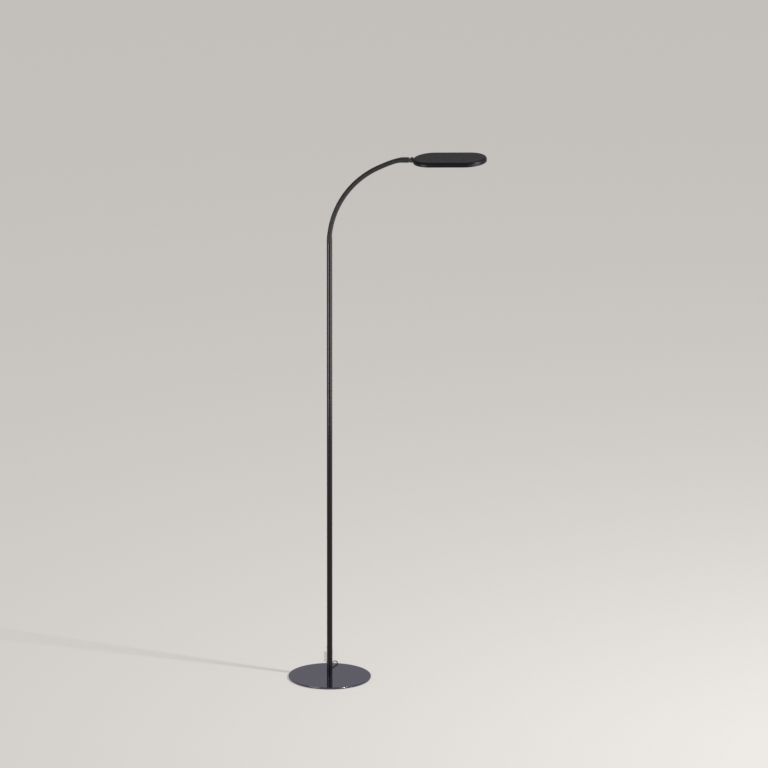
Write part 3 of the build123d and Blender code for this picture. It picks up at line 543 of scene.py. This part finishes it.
lead_exit = Vector((0, 13, 23)) * MM
lead_points = [
    lead_exit,
    Vector((0, 22, 23)) * MM,
    put_away(4.8, 33, 13),
    put_away(3.6, 47, 7.3),
    put_away(4.6, 62, 7.2),
    put_away(9.4, 77, 7.2),
    put_away(16.8, 93, 7.4),
    put_away(22.6, 106, 8.2),
    put_away(22.8, 121, 8.6),
    put_away(21.6, 134, 2.9),
    put_away(21.2, 146, 1.5),
    put_away(16.8, 154.5, 1.5),
    put_away(11.4, 148.5, 1.5),
    put_away(8.4, 138.0, 1.5),
    put_away(6.6, 127.3, 1.5),
    put_away(0, 123.5, 1.5),
    put_away(-6.6, 127.3, 1.6),
]
strand_pitch = lead_diameter + 0.6
hank_fold_radius = 4.51
outer_offset = hank_fold_radius + 3.5
hank_shift = strand_pitch / 4
hank_near_depth = 154
hank_span = 79.4
hank_draw_in = 2.2
hank_floor = 1.8
hank_lead_in = 14
strands_per_layer = 3
layer_count = 4
strand_total = layer_count * strands_per_layer + 1
waist_depth = hank_near_depth + hank_span / 2


def strand_offset(number):
    """Distance of a strand from the hank's middle line: in by half pitches, then out again."""
    step = number % (2 * strands_per_layer)
    return outer_offset - min(step, 2 * strands_per_layer - step) * strand_pitch / 2


def strand_level(number):
    """Layer at the end of a strand; every third strand climbs."""
    return hank_floor + min(number // strands_per_layer, layer_count - 1) * strand_pitch


def near_fold(corner, waist, fold):
    """A point of the run beside a fold, as far from the fold's corner as the fold is wide."""
    return corner + (waist - corner).normalized() * 2 * fold * MM


for number in range(strand_total):
    away = number % 2 == 0
    side = -1 if away else 1
    offset_here = strand_offset(number)
    fold_before = (strand_offset(number - 1) + offset_here) / 2 if number else 0
    fold_after = (offset_here + strand_offset(number + 1)) / 2 if number < strand_total - 1 else 0
    start_level = strand_level(number - 1) if number else hank_floor
    end_level = strand_level(number)
    near = hank_near_depth - (fold_before if away else fold_after)
    far = hank_near_depth + hank_span + (fold_after if away else fold_before)
    start_depth, end_depth = (near, far) if away else (far, near)
    strand_side = side * offset_here + hank_shift
    waist_side = side * (offset_here - hank_draw_in) + hank_shift
    start = put_away(strand_side, start_depth, start_level)
    waist = put_away(waist_side, waist_depth, (start_level + end_level) / 2)
    end = put_away(strand_side, end_depth, end_level)
    if number == 0:
        lead_points.append(start + (start - waist).normalized() * hank_lead_in * MM)
    lead_points.append(start)
    if fold_before:
        lead_points.append(near_fold(start, waist, fold_before))
    lead_points.append(waist)
    if fold_after:
        lead_points.append(near_fold(end, waist, fold_after))
    lead_points.append(end)

# The tail leaves the top layer and comes down to the plug, which lies on the floor.
tail_run = 7
tail_plug_run = 10
plug_gap = 22
plug_height = 4.75
plug_depth = hank_near_depth + hank_span + outer_offset + plug_gap
plug_start = put_away(-0.6, plug_depth, plug_height)
plug_approach = put_away(-1.0, plug_depth - tail_plug_run, plug_height)
lead_points.append(end + (end - waist).normalized() * tail_run * MM)
lead_points.append(plug_approach)
lead_points.append(plug_start)

lead_curve = bpy.data.curves.new("lead", "CURVE")
lead_curve.dimensions = "3D"
lead_curve.resolution_u = 8
lead_curve.bevel_depth = lead_diameter / 2 * MM
lead_curve.bevel_resolution = 6
lead_curve.use_fill_caps = True
spline = lead_curve.splines.new("NURBS")
spline.points.add(len(lead_points) - 1)
for point, place in zip(spline.points, lead_points):
    point.co = (*place, 1)
spline.order_u = 3
spline.use_endpoint_u = True
lead = bpy.data.objects.new("lead", lead_curve)
lead_curve.materials.append(lead_sheath)
scene.collection.objects.link(lead)
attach(lead, "stand")
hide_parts("power_lead", "lead_hank", "lead_tail")

# ---- Plug -----------------------------------------------------------------------------
# A moulded low-voltage plug: grooves round its tapered strain relief let it flex, a waist on
# the body gives a grip, and the hollow barrel is plated.
finish(coated("plug_plastic", (0.015, 0.015, 0.015), 0.45), "lead_plug")
groove_count = 5
groove_pitch = 2.1
groove_depth = 0.45
relief_length = 12
relief_start = 2.0
relief_end = 3.75
plug_profile = [(1.15, 0.0), (relief_start, 0.0)]
for groove in range(groove_count):
    along = 0.9 + groove * groove_pitch
    outside = relief_start + (relief_end - relief_start) * along / relief_length
    plug_profile += [(outside, along), (outside - groove_depth, along + 0.3)]
    plug_profile += [(outside - groove_depth, along + 0.7), (outside, along + 1.0)]
plug_profile += [(relief_end, relief_length), (4.2, 12.1), (4.6, 12.35), (4.75, 12.8), (4.75, 16)]
plug_profile += [(4.45, 16.4), (4.45, 27), (4.75, 27.4), (4.75, 31.2), (4.6, 31.65), (4.2, 31.9)]
plug_profile += [(2.85, 32.0)]
barrel_profile = [(2.7, 32.0), (2.75, 32.2), (2.75, 41.2), (2.6, 41.5), (1.3, 41.5), (1.05, 41.2)]
barrel_profile += [(1.05, 32.0)]
plug_segments = 32
plug_direction = (plug_start - plug_approach).normalized()
plug_across = plug_direction.cross(Vector((0, 0, 1))).normalized()
plug_sizes = [(radius * MM, along * MM) for radius, along in plug_profile + barrel_profile]
plug_rings = turned(plug_start, plug_direction, plug_across, plug_sizes, plug_segments)
plug = add_mesh("lead_plug_body", *closed_rings(plug_rings), "plug_plastic", "stand")
plug.data.materials.append(zinc_steel)
first_barrel_face = len(plug_profile) * plug_segments
last_barrel_face = (len(plug_rings) - 1) * plug_segments
for face in plug.data.polygons:
    if first_barrel_face <= face.index < last_barrel_face:
        face.material_index = 1
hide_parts("lead_plug")


# ---- Strap ----------------------------------------------------------------------------
# A flat hook-and-loop tape wrapped once round the hank's waist, its end lapped over the top.
# It is woven, with crossing threads over a fuzzy ground.
def woven(name, color, thread=0.0006):
    """Narrow tape: two crossing sets of threads over a fuzzy ground."""
    material, tree, shader, place = new_material(name)
    waves = []
    for direction in ("X", "Z"):
        wave = tree.nodes.new("ShaderNodeTexWave")
        wave.bands_direction = direction
        wave.inputs["Scale"].default_value = 1 / thread / 20
        wave.inputs["Distortion"].default_value = 1.5
        tree.links.new(place, wave.inputs["Vector"])
        waves.append(wave.outputs["Fac"])
    weave = tree.nodes.new("ShaderNodeMath")
    weave.operation = "MULTIPLY"
    tree.links.new(waves[0], weave.inputs[0])
    tree.links.new(waves[1], weave.inputs[1])
    dark = [c * 0.6 for c in color]
    light = [c * 1.5 for c in color]
    tree.links.new(tint(tree, weave.outputs["Value"], dark, light), shader.inputs["Base Color"])
    shader.inputs["Roughness"].default_value = 0.9
    shader.inputs["Sheen Weight"].default_value = 0.3
    bump(tree, shader, weave.outputs["Value"], 0.0001)
    return material


finish(woven("strap_fabric", (0.02, 0.02, 0.022)), "lead_strap")
strap_thickness = 0.5
strap_half_width = 2.9
strap_clearance = 0.1
strap_corner = 1.5
corner_steps = 6
tape_draw_in_share = 0.775  # of the hank's draw-in, reached at the tape's edges
waist_draw_in = hank_draw_in * tape_draw_in_share
around = lead_diameter / 2 + strap_clearance
strap_left = -(outer_offset - waist_draw_in) + hank_shift - around
strap_right = outer_offset - strand_pitch / 2 - waist_draw_in + hank_shift + around
strap_low = hank_floor - around
strap_high = hank_floor + (layer_count - 1) * strand_pitch + around
strap_middle = ((strap_left + strap_right) / 2, (strap_low + strap_high) / 2)


def strap_outline(grow):
    """A rounded rectangle round the waist, grown outwards by a distance."""
    half_width = (strap_right - strap_left) / 2 + grow - strap_corner
    half_height = (strap_high - strap_low) / 2 + grow - strap_corner
    corners = [(1, 1), (-1, 1), (-1, -1), (1, -1)]
    outline = []
    for index, (u, v) in enumerate(corners):
        for step in range(corner_steps + 1):
            angle = math.radians(90 * index + 90 * step / corner_steps)
            across = strap_middle[0] + u * half_width + strap_corner * math.cos(angle)
            up = strap_middle[1] + v * half_height + strap_corner * math.sin(angle)
            outline.append((across, up))
    return outline


strap_inside = strap_outline(0.0)
strap_outside = strap_outline(strap_thickness)
strap_lap = strap_outline(2 * strap_thickness)
lap_points = 11
strap_rings = []
for index in range(len(strap_inside) + lap_points):
    lapped = index >= len(strap_inside)
    place = index % len(strap_inside)
    inner = strap_outside[place] if lapped else strap_inside[place]
    outer = strap_lap[place] if lapped else strap_outside[place]
    ring = []
    for (across, up), shift in ((inner, -1), (outer, -1), (outer, 1), (inner, 1)):
        ring.append(put_away(across, waist_depth + shift * strap_half_width, up))
    strap_rings.append(ring)
strap_vertices = [v for ring in strap_rings for v in ring]
strap_faces = [(3, 2, 1, 0)]
for index in range(len(strap_rings) - 1):
    for corner in range(4):
        k = (corner + 1) % 4
        here = index * 4
        strap_faces.append((here + corner, here + k, here + 4 + k, here + 4 + corner))
last = (len(strap_rings) - 1) * 4
strap_faces.append((last, last + 1, last + 2, last + 3))
strap = add_mesh("lead_strap_tape", strap_vertices, strap_faces, "strap_fabric", "stand")
for face in strap.data.polygons:
    face.use_smooth = False
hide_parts("lead_strap")

# ---- Floor ----------------------------------------------------------------------------
# A wide pale floor. A share of its colour reaches the camera and mirrored rays as it is, so
# the background stays pale far from the lamps, and the rest carries the shadow.
floor_mesh = bpy.data.meshes.new("floor")
floor_half = 40
floor_corners = [(-1, -1), (1, -1), (1, 1), (-1, 1)]
floor_vertices = [(x * floor_half, y * floor_half, 0) for x, y in floor_corners]
floor_mesh.from_pydata(floor_vertices, [], [(0, 1, 2, 3)])
floor = bpy.data.objects.new("floor", floor_mesh)
scene.collection.objects.link(floor)
floor_paint = coated("floor_paint", (0.6, 0.58, 0.56), 0.7, grain=0.002, mottle=0.012, gloss=0.1)
floor_mesh.materials.append(floor_paint)
floor_glow_share = 0.42
tree = floor_paint.node_tree
light_path = tree.nodes.new("ShaderNodeLightPath")
seen = light_path.outputs["Is Camera Ray"]
for ray in ("Is Glossy Ray", "Is Transmission Ray"):
    either = tree.nodes.new("ShaderNodeMath")
    either.operation = "MAXIMUM"
    tree.links.new(seen, either.inputs[0])
    tree.links.new(light_path.outputs[ray], either.inputs[1])
    seen = either.outputs["Value"]
glow_share = tree.nodes.new("ShaderNodeMath")
glow_share.operation = "MULTIPLY"
glow_share.inputs[1].default_value = floor_glow_share
tree.links.new(seen, glow_share.inputs[0])
glow = tree.nodes.new("ShaderNodeEmission")
glow.inputs["Color"].default_value = (0.95, 0.92, 0.885, 1)
mix = tree.nodes.new("ShaderNodeMixShader")
tree.links.new(glow_share.outputs["Value"], mix.inputs["Fac"])
tree.links.new(tree.nodes["Principled BSDF"].outputs["BSDF"], mix.inputs[1])
tree.links.new(glow.outputs["Emission"], mix.inputs[2])
tree.links.new(mix.outputs["Shader"], tree.nodes["Material Output"].inputs["Surface"])

# ---- Camera ---------------------------------------------------------------------------
# A very long lens from the photograph's side: 11 degrees round towards the arm and about 17
# degrees above the horizon. The base's middle falls left of and below the picture's middle.
camera_azimuth = math.radians(11)
camera_elevation = math.radians(17.1)
camera_distance = 90
picture_width = 2.2305
base_offset_right = -0.1577
base_offset_up = -0.8518
camera_back = Vector((
    math.sin(camera_azimuth) * math.cos(camera_elevation),
    -math.cos(camera_azimuth) * math.cos(camera_elevation),
    math.sin(camera_elevation),
))
camera_right = Vector((math.cos(camera_azimuth), math.sin(camera_azimuth), 0))
camera_up = camera_back.cross(camera_right)
camera_target = -base_offset_right * camera_right - base_offset_up * camera_up
camera_data = bpy.data.cameras.new("camera")
camera_data.sensor_width = 36
camera_data.lens = camera_data.sensor_width * camera_distance / picture_width
camera_data.clip_end = 2 * camera_distance
camera = bpy.data.objects.new("camera", camera_data)
camera.location = camera_target + camera_distance * camera_back
camera.rotation_euler = Matrix((camera_right, camera_up, camera_back)).transposed().to_euler()
scene.collection.objects.link(camera)
scene.camera = camera

# ---- Light ----------------------------------------------------------------------------
# An even pale surround. A small key lamp high on the right throws the pole's thin shadow to
# the left. Two tall soft boxes beside the camera show only in reflections, where they draw the
# lines down the upper pole.
world = bpy.data.worlds.new("world")
world.use_nodes = True
background = world.node_tree.nodes["Background"]
background.inputs["Color"].default_value = (0.62, 0.6, 0.58, 1)
background.inputs["Strength"].default_value = 0.6
scene.world = world


def add_soft_box(name, right, toward, height, width, tall, power, aim):
    """A lamp right of and toward the camera from the base, aimed at a height on the pole."""
    lamp_data = bpy.data.lights.new(name, "AREA")
    lamp_data.shape = "RECTANGLE"
    lamp_data.size = width
    lamp_data.size_y = tall
    lamp_data.energy = power
    lamp = bpy.data.objects.new(name, lamp_data)
    level_back = Vector((camera_back.x, camera_back.y, 0)).normalized()
    lamp.location = camera_right * right + level_back * toward + Vector((0, 0, height))
    direction = Vector((0, 0, aim)) - lamp.location
    lamp.rotation_euler = direction.to_track_quat("-Z", "Y").to_euler()
    lamp.visible_camera = False
    scene.collection.objects.link(lamp)
    return lamp


left_box = add_soft_box("left_box", -0.9, 0.87, 1.0, 0.6, 1.2, 20, 1.0)
right_box = add_soft_box("right_box", 1.1, 0.58, 1.0, 0.75, 1.2, 20, 1.0)
for box in (left_box, right_box):
    box.visible_diffuse = False
add_soft_box("key_box", 2.75, 1.2, 3.2, 0.3, 0.3, 145, 0.4)
